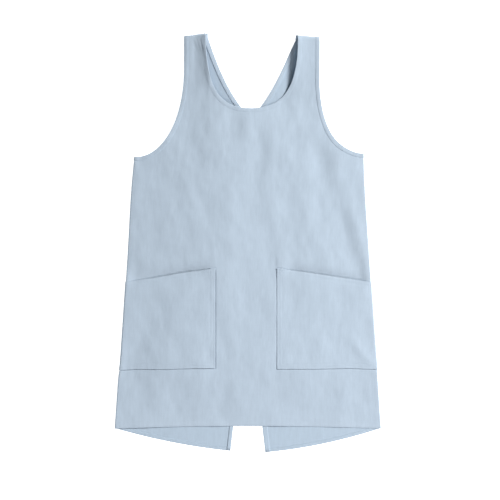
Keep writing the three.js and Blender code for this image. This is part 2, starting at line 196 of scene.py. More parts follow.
# Soft folds in the front: middle, turn from upright in degrees, half length, half width and height
Fold = namedtuple("Fold", "across along turn length width height")
FRONT_FOLDS = [
    Fold(16, 135, 0, 85, 28, -1.4),
    Fold(50, 75, 13, 85, 17, 1.6),
    Fold(92, 80, 2, 100, 17, -0.9),
    Fold(124, 90, 4, 95, 18, 0.8),
    Fold(112, -5, 12, 75, 28, -1.6),
    Fold(44, -30, 4, 65, 20, -1.2),
    Fold(57, -45, 0, 10, 4, -0.7),
    Fold(76, -48, 0, 14, 12, 1.0),
    Fold(-37, 15, 0, 42, 20, 1.4),
    Fold(-45, 55, 0, 90, 60, 1.8),
    Fold(185, 20, 18, 82, 30, -1.8),
    Fold(206, 22, 18, 86, 14, -1.2),
    Fold(231, 24, 18, 80, 15, 1.9),
    Fold(228, -44, 10, 26, 18, -1.2),
    Fold(205, -130, 0, 45, 26, -0.9),
    Fold(248, -92, 5, 62, 24, 2.2),
    Fold(152, 172, 10, 38, 20, -2.0),
    Fold(186, 158, 0, 32, 17, 1.8),
    Fold(112, 212, 0, 38, 22, -1.8),
    Fold(26, 190, 0, 42, 16, -1.8),
    Fold(52, 188, 0, 36, 14, 0.4),
    Fold(-34, 252, 0, 34, 17, -1.1),
    Fold(-4, 252, 0, 34, 18, 1.5),
    Fold(-114, 265, 0, 45, 28, -2.0),
    Fold(-62, 184, 0, 30, 26, 1.8),
    Fold(-36, 182, 0, 26, 15, 1.4),
    Fold(70, 292, -20, 34, 20, -1.6),
    Fold(-142, 225, 14, 45, 22, -0.9),
    Fold(-146, 85, 12, 55, 16, -1.8),
    Fold(-118, 85, 12, 55, 16, 0.8),
    Fold(-165, -160, 0, 80, 55, -1.8),
    Fold(84, -175, 6, 60, 12, -0.7),
    Fold(-228, -342, 0, 36, 18, -1.1),
    Fold(-226, -235, 0, 100, 36, -1.2),
    Fold(-188, -345, 0, 45, 18, 1.0),
    Fold(237, -231, 42, 32, 9, 1.3),
    Fold(240, -322, 10, 30, 12, -1.2),
    Fold(50, -330, 0, 55, 30, 0.6),
    Fold(-22, -330, 6, 55, 22, 1.7),
    Fold(0, 298, 0, 50, 250, -2.2),
    Fold(10, 235, 0, 70, 95, 3.0),
    Fold(62, 308, 0, 34, 36, -1.7),
]
FOLD_FADE = 12.0  # they run out over this distance from the sides
# Small creases where the left strap is gathered at its neck side
STRAP_FOLDS = [
    Fold(-102, 408, 16, 20, 2.8, 1.0),
    Fold(-109, 412, 18, 18, 2.8, 0.9),
    Fold(-116, 415, 20, 15, 3.0, 0.6),
    Fold(-100, 384, 10, 22, 3.6, -0.7),
]
RIPPLE_LENGTHS = (52.0, 78.0)  # across and along
RIPPLE_HEIGHT = 1.5
RIPPLE_FINENESS = 1.0  # lower for stronger fine ripples
RIPPLE_STEP = 2.0  # each layer is this much finer
RIPPLE_LAYERS = 3
RIPPLE_PATTERN = 0.5  # which pattern they make
# The front sinks away from the mouth of each pocket
MOUTH_DEPTHS = {-1: 8.0, 1: 5.5}
MOUTH_FLOOR = 2.2  # but not below this height
MOUTH_REACHES = {-1: 28.0, 1: 31.0}  # how far above the mouth it starts to sink
MOUTH_SPREADS = {-1: 1.0, 1: 2.6}  # share by which that grows at the mouth's outer end
MOUTH_SPREAD_START = 60.0
MOUTH_UNDER = 40.0  # how far under the pocket it has risen again
MOUTH_ROUNDS = {-1: 60.0, 1: 40.0}  # how far from the pocket's seam it is deepest
MOUTH_FADES = {-1: 15.0, 1: 19.0}  # and how far from the folded side
MOUTH_CURLS = {-1: 2.3, 1: 3.0}  # how suddenly it sinks
# The front is drawn in along the pocket's sewn edges
SEAM_CREASES = {-1: 1.4, 1: 0.8}  # depth along the inner seam
SEAM_TOPS = {-1: 0.0, 1: 1.6}  # how much deeper that is at its upper end
SEAM_TOP_REACH = 28.0
BOTTOM_CREASE = 2.0  # depth along the bottom
CREASE_WIDTH = 1.2
CREASE_FADE = 22.0  # how far under the pocket the front has risen again
CREASE_END = 5.0  # where a crease runs out

# Nets of the cloth
PANEL_STEP = 5.0
POCKET_STEP = 1.0  # beside a pocket's edges
JOIN_WITHIN = 0.02  # knots nearer than this become one
CURVE_POINTS = 400
FINE_STEPS = (0.5, 1.1, 1.8, 2.8, 4.5)  # finer knots beside a pocket's seam
YOKE_ROWS = 26
NECK_ROWS = 56
STRAP_ROWS = 80
TURN_STEPS = 8
FOLD_STEPS = 6
RETURN_STEPS = 4


def ease(share):
    held = np.clip(share, 0, 1)
    return held * held * (3 - 2 * held)


def mix(start, end, share):
    return start + (end - start) * share


def by_side(across, values):
    return np.where(across < 0, values[-1], values[1])


def between(value, ends):
    return ease((value - ends[0]) / (ends[1] - ends[0]))


def bell(distance, width):
    return np.exp(-((distance / width) ** 2))


def unit(vectors):
    return vectors / np.linalg.norm(vectors, axis=1, keepdims=True)


def side_share(along):
    return (along - HEM_Y) / (UNDERARM_Y - HEM_Y)


def fold_start_at(along):
    return mix(HEM_HALF, UNDERARM_HALF, side_share(along)) - SIDE_REACH


def side_top(across, along):
    up_from_hem = ease((along - HEM_Y) / HEM_LOFT)
    return mix(by_side(across, HEM_SIDE_TOPS), by_side(across, SIDE_TOPS), up_from_hem)


def side_arc(across, along):
    """Length of a folded side's cloth for each radian that it turns."""
    return (SIDE_REACH + side_top(across, along) / 2) / 2


def shoulder_fold(across):
    """Radius of a strap's fold, which widens from its arm side towards its neck side."""
    arm, neck, droop = np.where(np.reshape(across, (-1, 1)) < 0, SHOULDER_FOLDS[-1], SHOULDER_FOLDS[1]).T
    to_neck = (STRAP_HALF - np.abs(across)) / (STRAP_HALF - NECK_HALF)
    at_arm = np.clip(1 - to_neck / SHOULDER_FLAT, 0, 1)
    widened = np.clip((to_neck - SHOULDER_FLAT) / (1 - SHOULDER_FLAT), 0, SHOULDER_WIDEST) ** SHOULDER_CURL
    return mix(arm, neck, widened) - droop * at_arm**2


def shoulder_start(across):
    return SHOULDER_Y - shoulder_fold(across)


def shoulder_end(across, side):
    """Where a strap's edge meets the fold at the shoulder on the given side."""
    return float(shoulder_start(np.array([side * abs(across)]))[0])


def bezier(start, pull_start, pull_end, end):
    share = np.linspace(0, 1, CURVE_POINTS)[:, None]
    rest = 1 - share
    corners = [np.array(corner, float) for corner in (start, pull_start, pull_end, end)]
    weights = [rest**3, 3 * rest**2 * share, 3 * rest * share**2, share**3]
    return sum(weight * corner for weight, corner in zip(weights, corners))


def back_neck_path(side):
    """Neck edge of a back panel, from its underarm to the other side's shoulder."""
    underarm = (fold_start_at(UNDERARM_Y), UNDERARM_Y)
    end = (-BACK_NECK_HALF, shoulder_end(BACK_NECK_HALF, -side))
    return bezier(underarm, (BACK_NECK_ROUND, UNDERARM_Y), BACK_NECK_PULLS[side], end)


def back_edge_at(along, side):
    tip_y = TIP_YS[side]
    straight = TIP_HALF - BACK_EDGE_SLOPE * (along - tip_y)
    strap_end = TIP_HALF - BACK_EDGE_SLOPE * (SHOULDER_Y - tip_y) + STRAP_HALF
    bend = np.maximum(0, along - BACK_EDGE_BEND_Y) / (SHOULDER_Y - BACK_EDGE_BEND_Y)
    return straight - strap_end * bend * bend


# How the cloth lies


def settle(x, y, z):
    """Lays points unevenly: leaning, drawn in at a side, tilted at the shoulders and pulled up."""
    lean = LEAN * between(y, LEAN_ALONG)
    beside_pocket = between(y, DRAWN_FOOT) * (1 - between(y, DRAWN_TOP))
    drawn_in = SIDE_DRAWN * ease(-x / UNDERARM_HALF) * beside_pocket
    pull = by_side(x, UNDERARM_PULLS) * between(np.abs(x), PULL_ACROSS) * between(y, PULL_ALONG)
    out_of_middle = np.abs(x) - (NECK_HALF + STRAP_HALF) / 2
    tilt = by_side(x, SHOULDER_TILTS) * out_of_middle / (STRAP_HALF - NECK_HALF)
    near_shoulder = ease(1 - (SHOULDER_Y - y) / STRAP_LOFT)
    rise = (by_side(x, SHOULDER_SHIFTS) - tilt) * near_shoulder
    near_bottom = bell(y - POCKET_BOTTOM_Y, POCKET_PULL_REACH)
    at_pockets = np.interp(x, PULL_PLACES, PULL_HEIGHTS) * near_bottom
    return np.stack([x + lean + drawn_in, y + pull + rise + at_pockets, z], axis=1)


def fold_heights(folds, across, along):
    total = np.zeros_like(across)
    for fold in folds:
        angle = math.radians(fold.turn)
        right = across - fold.across
        up = along - fold.along
        lengthwise = up * math.cos(angle) - right * math.sin(angle)
        crosswise = up * math.sin(angle) + right * math.cos(angle)
        total += fold.height * bell(lengthwise, fold.length) * bell(crosswise, fold.width)
    return total


def ripples(across, along):
    heights = [
        noise.fractal((right, up, RIPPLE_PATTERN), RIPPLE_FINENESS, RIPPLE_STEP, RIPPLE_LAYERS)
        for right, up in zip(across / RIPPLE_LENGTHS[0], along / RIPPLE_LENGTHS[1])
    ]
    return RIPPLE_HEIGHT * np.array(heights)


def pocket_mouth_at(across):
    inner = by_side(across, POCKET_INNER)
    share = (np.abs(across) - inner) / (fold_start_at(POCKET_TOP_OUTER_Y) - inner)
    return mix(POCKET_TOP_INNER_Y, POCKET_TOP_OUTER_Y, share)


def pocket_crease(across, along):
    beside = by_side(across, POCKET_INNER) - np.abs(across)
    below = POCKET_BOTTOM_Y - along
    outside = np.maximum(beside, below)
    width = np.where(outside > 0, CREASE_WIDTH, CREASE_FADE)
    below_mouth = pocket_mouth_at(across) - along
    deeper = by_side(across, SEAM_TOPS) * ease(1 - below_mouth / SEAM_TOP_REACH)
    seam = by_side(across, SEAM_CREASES) + deeper
    depth = mix(seam, BOTTOM_CREASE, between(below - beside, (-CREASE_FADE / 2, CREASE_FADE / 2)))
    return -depth * bell(outside, width) * ease(below_mouth / CREASE_END)


def lofted_height(across, along):
    """Height of the front over the body, without its folds."""
    from_side = fold_start_at(along) - np.abs(across)
    middle = mix(BODY_HEIGHT, CHEST_HEIGHT, np.minimum(1, side_share(along)))
    middle = mix(HEM_TOP, middle, ease((along - HEM_Y) / HEM_LOFT))
    rolled = np.exp(-from_side / ROLL_FADE) - np.exp(-from_side / ROLL_WIDTH)
    roll = mix(by_side(across, LOW_ROLLS), by_side(across, SIDE_ROLLS), between(along, ROLL_FOOT))
    return mix(middle, side_top(across, along), ease(1 - from_side / SIDE_LOFT)) + roll * rolled


def mouth_sink(across, along):
    from_seam = np.abs(across) - by_side(across, POCKET_INNER)
    from_side = fold_start_at(along) - np.abs(across)
    inside = ease(from_seam / by_side(across, MOUTH_ROUNDS))
    inside = inside * ease(from_side / by_side(across, MOUTH_FADES))
    mouth = pocket_mouth_at(across)
    spread = 1 + by_side(across, MOUTH_SPREADS) * ease(1 - from_side / MOUTH_SPREAD_START)
    reach = np.where(along > mouth, by_side(across, MOUTH_REACHES) * spread, MOUTH_UNDER)
    near = np.clip(1 - np.abs(along - mouth) / reach, 0, 1)
    depth = np.clip(lofted_height(across, along) - MOUTH_FLOOR, 0, by_side(across, MOUTH_DEPTHS))
    return -depth * inside * near ** by_side(across, MOUTH_CURLS)


def neck_curl(across, along):
    edge = mirrored(neckline(-1, NECK_ROWS), -1)
    from_edge = np.hypot(across[:, None] - edge[:, 0], along[:, None] - edge[:, 1]).min(axis=1)
    return NECK_CURL * bell(from_edge, NECK_CURL_WIDTH) * ease(-across / NECK_ROUND)


def front_height(across, along):
    from_side = fold_start_at(along) - np.abs(across)
    soft = fold_heights(FRONT_FOLDS, across, along) + ripples(across, along)
    at_pockets = mouth_sink(across, along) + pocket_crease(across, along)
    body = lofted_height(across, along) + soft * ease(from_side / FOLD_FADE) + at_pockets
    to_shoulder = shoulder_start(across) - along
    loft = mix(*STRAP_LOFTS, between(across, LOFT_CHANGE))
    creases = fold_heights(STRAP_FOLDS, across, along) + neck_curl(across, along)
    laid = mix(body, 2 * shoulder_fold(across), ease(1 - to_shoulder / loft))
    return laid + creases * ease(to_shoulder / CREASE_END)


def turn_over(side, across, along):
    """Where cloth starts to turn at a side and a shoulder, how level it is after that, and its place."""
    flat = np.minimum(side * across, fold_start_at(along))
    level = np.minimum(along, shoulder_start(across))
    side_turn = (side * across - flat) / side_arc(across, along)
    shoulder_turn = (along - level) / shoulder_fold(across)
    x = side * (flat + SIDE_REACH * np.sin(side_turn))
    y = level + shoulder_fold(across) * np.sin(shoulder_turn)
    return flat, level, np.cos(side_turn), np.cos(shoulder_turn), x, y


def front_surface(across, along):
    side = np.where(across < 0, -1, 1)
    flat, level, side_lying, shoulder_lying, x, y = turn_over(side, across, along)
    return settle(x, y, front_height(side * flat, level) / 2 * (side_lying + shoulder_lying))


def over_lift(across, along):
    inside_other = across - back_edge_at(along, 1)
    far_from_shoulder = 1 - ease(1 - (shoulder_start(across) - along) / STRAP_LOFT)
    lifted = between(along, OVER_FOOT) * far_from_shoulder
    return OVER_LIFT * lifted * ease((inside_other + OVER_CLEAR + OVER_RAMP) / OVER_RAMP)


def strap_rise(across, along):
    """How the back straps lift off the floor: the left one comes from the right back."""
    near_shoulder = ease(1 - (shoulder_start(across) - along) / STRAP_RISE_LOFT)
    edge = back_neck_path(1)
    from_band = np.interp(along, edge[:, 1], edge[:, 0]) - BAND_WIDTH - across
    off_band = STRAP_RISE * np.clip(from_band / STRAP_RISE_WIDTH, 0, 1)
    on_band = BAND_FALL * np.clip(-from_band, 0, BAND_WIDTH)
    left = (STRAP_RISE - off_band - on_band) * near_shoulder
    right = STRAP_PILLOW * ease(1 - np.abs(along - PILLOW_Y) / PILLOW_REACH)
    return np.where(across < 0, left, right) * ease(np.abs(across) / STRAP_RISE_WIDTH)


def back_surface(side):
    def surface(across, along):
        _, level, side_lying, shoulder_lying, x, y = turn_over(side, across, along)
        base = strap_rise(across, level)
        base = base + over_lift(across, level) if side < 0 else base
        side_rise = (side_top(across, along) / 2 - base) * (1 - side_lying)
        shoulder_rise = (shoulder_fold(across) - base) * (1 - shoulder_lying)
        return settle(x, y, base + side_rise + shoulder_rise)

    return surface


# Places are rows of (across, along). An edge is places with their direction into the panel.


def slopes(surface, places):
    across, along = places[:, 0], places[:, 1]
    right = surface(across + PROBE, along) - surface(across - PROBE, along)
    up = surface(across, along + PROBE) - surface(across, along - PROBE)
    return right, up


def square_to(surface, places):
    return unit(np.cross(*slopes(surface, places)))


def lay_on(surface, places, lift):
    return surface(places[:, 0], places[:, 1]) + square_to(surface, places) * np.reshape(lift, (-1, 1))


def outward_on(surface, edge):
    right, up = slopes(surface, edge[:, :2])
    return -unit(right * edge[:, 2:3] + up * edge[:, 3:4])


def with_inward(places, turn):
    """Places along an edge, each with its direction into the panel, to the left (1) or right (-1)."""
    ahead = unit(np.gradient(places, axis=0))
    return np.column_stack([places, -turn * ahead[:, 1], turn * ahead[:, 0]])


def lengths_along(points):
    return np.append(0, np.cumsum(np.linalg.norm(np.diff(points, axis=0), axis=1)))


def rows_at(rows, known, wanted):
    """Rows of values at the wanted stations, from those at the known ones."""
    return np.stack([np.interp(wanted, known, column) for column in rows.T], axis=1)


def edge_along(path, steps, turn):
    lengths = lengths_along(path)
    stations = np.linspace(0, lengths[-1], steps + 1)
    return with_inward(rows_at(path, lengths, stations), turn)


def inset(edge, distance):
    return edge[:, :2] + edge[:, 2:] * np.reshape(distance, (-1, 1))


def mirrored(edge, side):
    return edge * np.array([side, 1, side, 1])[: edge.shape[1]]


# Edges of the panels, drawn on the right half


def turn_angles():
    return np.arange(1, TURN_STEPS + 1) / TURN_STEPS * math.pi / 2


def neckline(side, steps):
    end = (NECK_HALF, shoulder_end(NECK_HALF, side))
    path = bezier((0, NECK_Y), (NECK_ROUND, NECK_Y), (NECK_HALF, NECK_PULL_Y), end)
    edge = edge_along(path, steps, -1)
    edge[0] = (0, NECK_Y, 0, -1)
    return edge


def armhole(side, steps):
    shape = ARMHOLES[side]
    underarm = (fold_start_at(UNDERARM_Y), UNDERARM_Y)
    curve = bezier(underarm, shape.round, (STRAP_HALF, shape.pull), (STRAP_HALF, shape.top))
    top = [[STRAP_HALF, shoulder_end(STRAP_HALF, side)]]
    edge = edge_along(np.concatenate([curve, top]), steps, 1)
    edge[0, 2:] = (0, -1)
    return edge


def over_shoulder(across, side, inward):
    start = shoulder_end(across, side)
    along = start + (SHOULDER_Y - start) * turn_angles()
    ones = np.ones_like(along)
    return np.column_stack([across * ones, along, inward * ones, 0 * ones])


def round_underarm(side):
    across = fold_start_at(UNDERARM_Y) + side_arc(side, UNDERARM_Y) * turn_angles()[::-1]
    ones = np.ones_like(across)
    return np.column_stack([across, UNDERARM_Y * ones, 0 * ones, -ones])


def steps_between(start, end, fine_start, fine_end):
    """Stations from start to end, finer beside a sewn end."""
    fine_from = [start + step for step in FINE_STEPS] if fine_start else []
    fine_to = [end - step for step in reversed(FINE_STEPS)] if fine_end else []
    low = fine_from[-1] if fine_from else start
    high = fine_to[0] if fine_to else end
    plain = np.linspace(low, high, max(2, round((high - low) / PANEL_STEP) + 1))
    return np.unique(np.concatenate([[start], fine_from, plain, fine_to, [end]]).round(6))


def body_stations(bottom, top):
    """Heights of a panel's rows along one of its edges, finer at the pockets' bottom."""
    low = steps_between(HEM_Y, POCKET_BOTTOM_Y, False, True)
    high = steps_between(POCKET_BOTTOM_Y, YOKE_Y, True, False)
    low_share = (low - HEM_Y) / (POCKET_BOTTOM_Y - HEM_Y)
    high_share = (high - POCKET_BOTTOM_Y) / (YOKE_Y - POCKET_BOTTOM_Y)
    return np.append(mix(bottom, POCKET_BOTTOM_Y, low_share), mix(POCKET_BOTTOM_Y, top, high_share)[1:])


def side_seam():
    along = body_stations(HEM_Y - HEM_DROP, UNDERARM_Y - BAND_INSET)
    return np.column_stack([fold_start_at(along), along])


# Sewing


def pattern_layers(bm):
    layers = bm.verts.layers.float
    return [layers.get(name) or layers.new(name) for name in ("across", "along")]


def add_net(bm, columns, rows, knots_at):
    """Adds a grid and lays its knots: knots_at gives their points and pattern places."""
    across_layer, along_layer = pattern_layers(bm)
    knots = bmesh.ops.create_grid(bm, x_segments=columns, y_segments=rows, size=0.5)["verts"]
    shares = np.array([knot.co[:2] for knot in knots]) + 0.5
    column = np.rint(shares[:, 0] * columns).astype(int)
    row = np.rint(shares[:, 1] * rows).astype(int)
    for knot, point, place in zip(knots, *knots_at(column, row)):
        knot.co = point * MM
        knot[across_layer], knot[along_layer] = place


def add_object(name, data):
    made = bpy.data.objects.new(name, data)
    bpy.context.collection.objects.link(made)
    return made


def link_piece(name, bm):
    mesh = bpy.data.meshes.new(name)
    bm.to_mesh(mesh)
    bm.free()
    return add_object(name, mesh)


def sew(name, bm):
    """Joins nets where they meet, and makes them one piece with its pattern as UV map."""
    bmesh.ops.remove_doubles(bm, verts=bm.verts, dist=JOIN_WITHIN * MM)
    bmesh.ops.recalc_face_normals(bm, faces=bm.faces)
    pattern = bm.loops.layers.uv.new("pattern")
    across_layer, along_layer = pattern_layers(bm)
    for face in bm.faces:
        face.smooth = True
        for loop in face.loops:
            loop[pattern].uv = (loop.vert[across_layer] * MM, loop.vert[along_layer] * MM)
    return link_piece(name, bm)


def sew_cloth(name, bm):
    piece = sew(name, bm)
    wall = piece.modifiers.new("wall", "SOLIDIFY")
    wall.thickness = CLOTH * MM
    wall.offset = 0
    return piece


def turned_edge(bm, surface, edge, lift, towards, width, mitre=0, over=None):
    """Turns an edge over towards the upper (1) or lower (-1) side, and back over the cloth.

    over gives the thickness of what it is laid over.
    """
    last = len(edge) - 1
    stations = np.arange(len(edge))
    lengths = lengths_along(edge[:, :2])

    def knots_at(column, row):
        turn = np.minimum(row, FOLD_STEPS) / FOLD_STEPS * math.pi
        back = np.maximum(row - FOLD_STEPS, 0) / RETURN_STEPS * width
        start = np.interp(np.minimum(back, mitre), lengths, stations)
        places = rows_at(edge, stations, mix(start, last, column / last))
        laid_back = inset(places, back)
        radius = FOLD_RADIUS + (over(laid_back) / 2 if over else 0)
        points = lay_on(surface, laid_back, lift(laid_back) + towards * radius * (1 - np.cos(turn)))
        points += outward_on(surface, places) * (FOLD_RADIUS * np.sin(turn))[:, None]
        return points, inset(places, -back - FOLD_RADIUS * turn)

    add_net(bm, last, FOLD_STEPS + RETURN_STEPS, knots_at)


Panel = namedtuple("Panel", "surface side lift middle_edge side_edge shares ends")


def panel_places(panel, column, row):
    """Places of a panel's knots between its edges, on the right half. A row hangs down by its bow."""
    share = panel.shares[row, column]
    places = mix(panel.middle_edge[row, :2], panel.side_edge[row], share[:, None])
    places[:, 1] -= panel.middle_edge[row, 2] * 4 * share * (1 - share)
    return places


def add_panel(bm, panel):
    """A panel's nets: between its edges, round its folded side and over its shoulder."""
    rows, columns = (count - 1 for count in panel.shares.shape)
    body_rows = len(side_seam()) - 1

    def laid(places):
        signed = mirrored(places, panel.side)
        return lay_on(panel.surface, signed, panel.lift(signed)), signed

    def round_side(column, row):
        start, along = panel.side_edge[row].T
        across = start + side_arc(panel.side, along) * column / TURN_STEPS * math.pi / 2
        return laid(np.column_stack([across, along]))

    def round_shoulder(column, row):
        start = panel_places(panel, column, np.full_like(row, rows))
        across = mix(*panel.ends, panel.shares[rows, column])
        radius = shoulder_fold(panel.side * across)
        top = np.column_stack([across, SHOULDER_Y - radius + radius * math.pi / 2])
        return laid(mix(start, top, (row / TURN_STEPS)[:, None]))

    add_net(bm, columns, rows, lambda column, row: laid(panel_places(panel, column, row)))
    add_net(bm, TURN_STEPS, body_rows, round_side)
    add_net(bm, columns, TURN_STEPS, round_shoulder)


def round_the_side(places, side):
    """Carries an edge on from the folded side of the apron to its seam."""
    across = places[-1, 0] + side_arc(side, places[-1, 1]) * turn_angles()
    return np.concatenate([places, np.column_stack([across, np.full_like(across, places[-1, 1])])])


def hem_edge(panel):
    columns = np.arange(panel.shares.shape[1])
    bottom = panel_places(panel, columns, np.zeros_like(columns))
    return mirrored(with_inward(round_the_side(bottom, panel.side), 1), panel.side)


# Pieces


def front_shares(side_across, body_rows, inner):
    """Columns of the front, one of which follows the pocket's inner edge, finer beside it."""
    near = steps_between(0, inner, False, True)
    half = side_across[0]
    far = (steps_between(inner, half, True, False) - inner) / (half - inner)
    in_body = np.arange(len(side_across)) <= body_rows
    halves = np.where(in_body, side_across, side_across[body_rows])[:, None]
    columns_near = np.broadcast_to(near, (len(halves), len(near)))
    columns_far = mix(inner, halves, far[None, 1:])
    return np.concatenate([columns_near, columns_far], axis=1) / halves


def front_lift(_places):
    return -PANEL_DEPTH


def back_lift(_places):
    return PANEL_DEPTH


def front_half(side):
    body = body_stations(HEM_Y, YOKE_Y)
    yoke = np.linspace(YOKE_Y, NECK_Y - BAND_INSET, YOKE_ROWS + 1)[1:-1]
    centre = np.append(body, yoke)
    centre = np.column_stack([np.zeros_like(centre), centre])
    middle_edge = np.concatenate([centre, inset(neckline(side, NECK_ROWS), BAND_INSET)])
    up_from_hem = np.clip((middle_edge[:, 1] - HEM_Y) / (POCKET_BOTTOM_Y - HEM_Y), 0, 1)
    bow = -HEM_DROP / 4 * (1 - up_from_hem)  # level at the centre line
    middle_edge = np.column_stack([middle_edge, bow])
    arm = inset(armhole(side, YOKE_ROWS + NECK_ROWS), BAND_INSET)[1:]
    side_edge = np.concatenate([side_seam(), arm])
    shares = front_shares(side_edge[:, 0], len(body) - 1, POCKET_INNER[side])
    ends = (NECK_HALF + BAND_INSET, STRAP_HALF - BAND_INSET)
    return Panel(front_surface, side, front_lift, middle_edge, side_edge, shares, ends)


def make_front():
    bm = bmesh.new()
    for side in (-1, 1):
        half = front_half(side)
        add_panel(bm, half)
        turned_edge(bm, front_surface, hem_edge(half), front_lift, -1, HEM_WIDTH)
    return sew_cloth("front_panel_cloth", bm)


def open_back_edge(side):
    tip_y = TIP_YS[side]
    body = body_stations(tip_y, STRAP_ROOT_Y)
    strap = np.linspace(STRAP_ROOT_Y, shoulder_end(STRAP_HALF, -side), STRAP_ROWS + 1)[1:]
    along = np.append(body, strap)
    up_the_body = np.minimum(1, (along - tip_y) / (STRAP_ROOT_Y - tip_y))
    bow = BACK_HEM_BOWS[side] * (1 - up_the_body) ** 2
    return np.column_stack([back_edge_at(along, side), along, bow])


def back_half(side):
    neck = inset(edge_along(back_neck_path(side), STRAP_ROWS, 1), BAND_INSET)[1:]
    side_edge = np.concatenate([side_seam(), neck])
    columns = round((HEM_HALF - TIP_HALF) / PANEL_STEP)
    shares = np.broadcast_to(np.linspace(0, 1, columns + 1), (len(side_edge), columns + 1))
    ends = (-STRAP_HALF, -BACK_NECK_HALF - BAND_INSET)
    return Panel(back_surface(side), side, back_lift, open_back_edge(side), side_edge, shares, ends)


def back_opening(half):
    return mirrored(with_inward(half.middle_edge[:, :2], -1), half.side)


def over_hem(side):
    """Where the turned edge of the open back lies over the hem, and how thick that is."""
    clear_of_hem = TIP_YS[side] + 2 * BACK_HEM_WIDTH
    return lambda places: 2 * FOLD_RADIUS * ease((clear_of_hem - places[:, 1]) / BACK_HEM_WIDTH)


def make_back(word, side):
    bm = bmesh.new()
    half = back_half(side)
    add_panel(bm, half)
    turned_edge(bm, half.surface, hem_edge(half), back_lift, 1, BACK_HEM_WIDTH, BACK_HEM_WIDTH)
    opening = back_opening(half)
    turned_edge(bm, half.surface, opening, back_lift, 1, EDGE_WIDTHS[side], over=over_hem(side))
    return sew_cloth(f"back_panel_{word}_cloth", bm)


def pulled_in(distance, rows):
    return -STITCH_PULL * sum(bell(distance - row, STITCH_PULL_WIDTH) for row in rows)


def pocket_places(side, share, row_share):
    """Places on a pocket, as drawn on the right half."""
    inner_along = mix(POCKET_BOTTOM_Y, POCKET_TOP_INNER_Y, row_share)
    outer_along = mix(POCKET_BOTTOM_Y, POCKET_TOP_OUTER_Y, row_share)
    across = mix(POCKET_INNER[side], fold_start_at(outer_along), share)
    return np.column_stack([across, mix(inner_along, outer_along, share)])


def pocket_lift(side, places):
    """Height of the middle of a pocket's cloth over the front."""
    across, along = places[:, :2].T
    inward = np.abs(across) - POCKET_INNER[side]
    upward = along - POCKET_BOTTOM_Y
    from_mouth = pocket_mouth_at(across) - along
    width = fold_start_at(POCKET_BOTTOM_Y) - POCKET_INNER[side]
    opened = np.sin(math.pi * np.clip(inward / width, 0, 1)) * ease(upward / POCKET_DEPTH / POCKET_FILL)
    drawn = pulled_in(np.minimum(inward, upward), POCKET_STITCHES)
    drawn = drawn + pulled_in(from_mouth, [MOUTH_STITCHES])
    side_turn = (np.abs(across) - fold_start_at(along)) / side_arc(across, along)
    facing_up = np.cos(np.clip(side_turn, 0, math.pi / 2))
    sunk = POCKET_STIFFS[side] * mouth_sink(across, along) + pocket_crease(across, along)
    corners = 0
    for lift, reach, from_end in zip(CORNER_LIFTS[side], CORNER_REACHES, (upward, from_mouth)):
        corners = corners + lift * bell(np.hypot(inward, from_end), reach)
    return POCKET_LIFT + POCKET_OPEN * opened - sunk * facing_up + drawn + corners


def pocket_stations(length):
    fine = np.arange(0, POCKET_TURN + 1.5 * POCKET_STEP, POCKET_STEP)
    plain = np.linspace(fine[-1], length, round((length - fine[-1]) / PANEL_STEP) + 1)
    return np.append(fine, plain[1:]) / length


def pocket_net(side):
    """Shares of a pocket's width and depth at its columns and rows."""
    columns = pocket_stations(fold_start_at(POCKET_BOTTOM_Y) - POCKET_INNER[side])
    from_mouth = np.arange(MOUTH_WIDTH + POCKET_STEP, -POCKET_STEP, -POCKET_STEP)
    below_hem = pocket_stations(POCKET_DEPTH)[:-3]  # the mouth's finer rows replace the last ones
    return columns, np.append(below_hem, 1 - from_mouth / POCKET_DEPTH)


def pocket_edges(side):
    """A pocket's sewn edge beside the front's middle, its sewn bottom and its mouth."""
    columns, rows = pocket_net(side)
    seam = pocket_places(side, np.zeros_like(rows), rows)
    bottom = round_the_side(pocket_places(side, columns, np.zeros_like(columns)), side)
    mouth = round_the_side(pocket_places(side, columns, np.ones_like(columns)), side)
    turned = [with_inward(seam, -1), with_inward(bottom, 1), with_inward(mouth, -1)]
    return [mirrored(edge, side) for edge in turned]


def make_pocket(name, side):
    bm = bmesh.new()
    columns, rows = pocket_net(side)

    def lift(places):
        return pocket_lift(side, places)

    def laid(places):
        signed = mirrored(places, side)
        return lay_on(front_surface, signed, lift(signed)), signed

    def round_side(column, row):
        places = pocket_places(side, np.ones(len(row)), rows[row])
        places[:, 0] += side_arc(side, places[:, 1]) * column / TURN_STEPS * math.pi / 2
        return laid(places)

    def between_edges(column, row):
        return laid(pocket_places(side, columns[column], rows[row]))

    add_net(bm, len(columns) - 1, len(rows) - 1, between_edges)
    add_net(bm, TURN_STEPS, len(rows) - 1, round_side)
    seam, bottom, mouth = pocket_edges(side)
    turned_edge(bm, front_surface, seam, lift, -1, POCKET_TURN, POCKET_TURN)
    turned_edge(bm, front_surface, bottom, lift, -1, POCKET_TURN, POCKET_TURN)
    turned_edge(bm, front_surface, mouth, lift, -1, MOUTH_WIDTH, POCKET_TURN)
    return sew_cloth(f"{name}_cloth", bm)


def add_band(bm, surface, edge, skin):
    insets, heights = np.transpose(BAND_SECTION + BAND_SECTION[:1])

    def knots_at(column, row):
        pattern = inset(edge[column], insets[row])
        return lay_on(surface, pattern, skin + heights[row]), pattern

    add_net(bm, len(edge) - 1, len(BAND_SECTION), knots_at)


def make_band(node, surface, edges, skin):
    """A folded band round edges that join end to end."""
    bm = bmesh.new()
    for edge in edges:
        add_band(bm, surface, edge, skin)
    bmesh.ops.remove_doubles(bm, verts=bm.verts, dist=JOIN_WITHIN * MM)
    bmesh.ops.holes_fill(bm, edges=bm.edges, sides=len(BAND_SECTION))
    return dress(sew(f"{node}_cloth", bm), edge_band, node)


def neck_band_edge(side):
    edge = np.concatenate([neckline(side, 3 * NECK_ROWS), over_shoulder(NECK_HALF, side, 1)])
    return mirrored(edge, side)


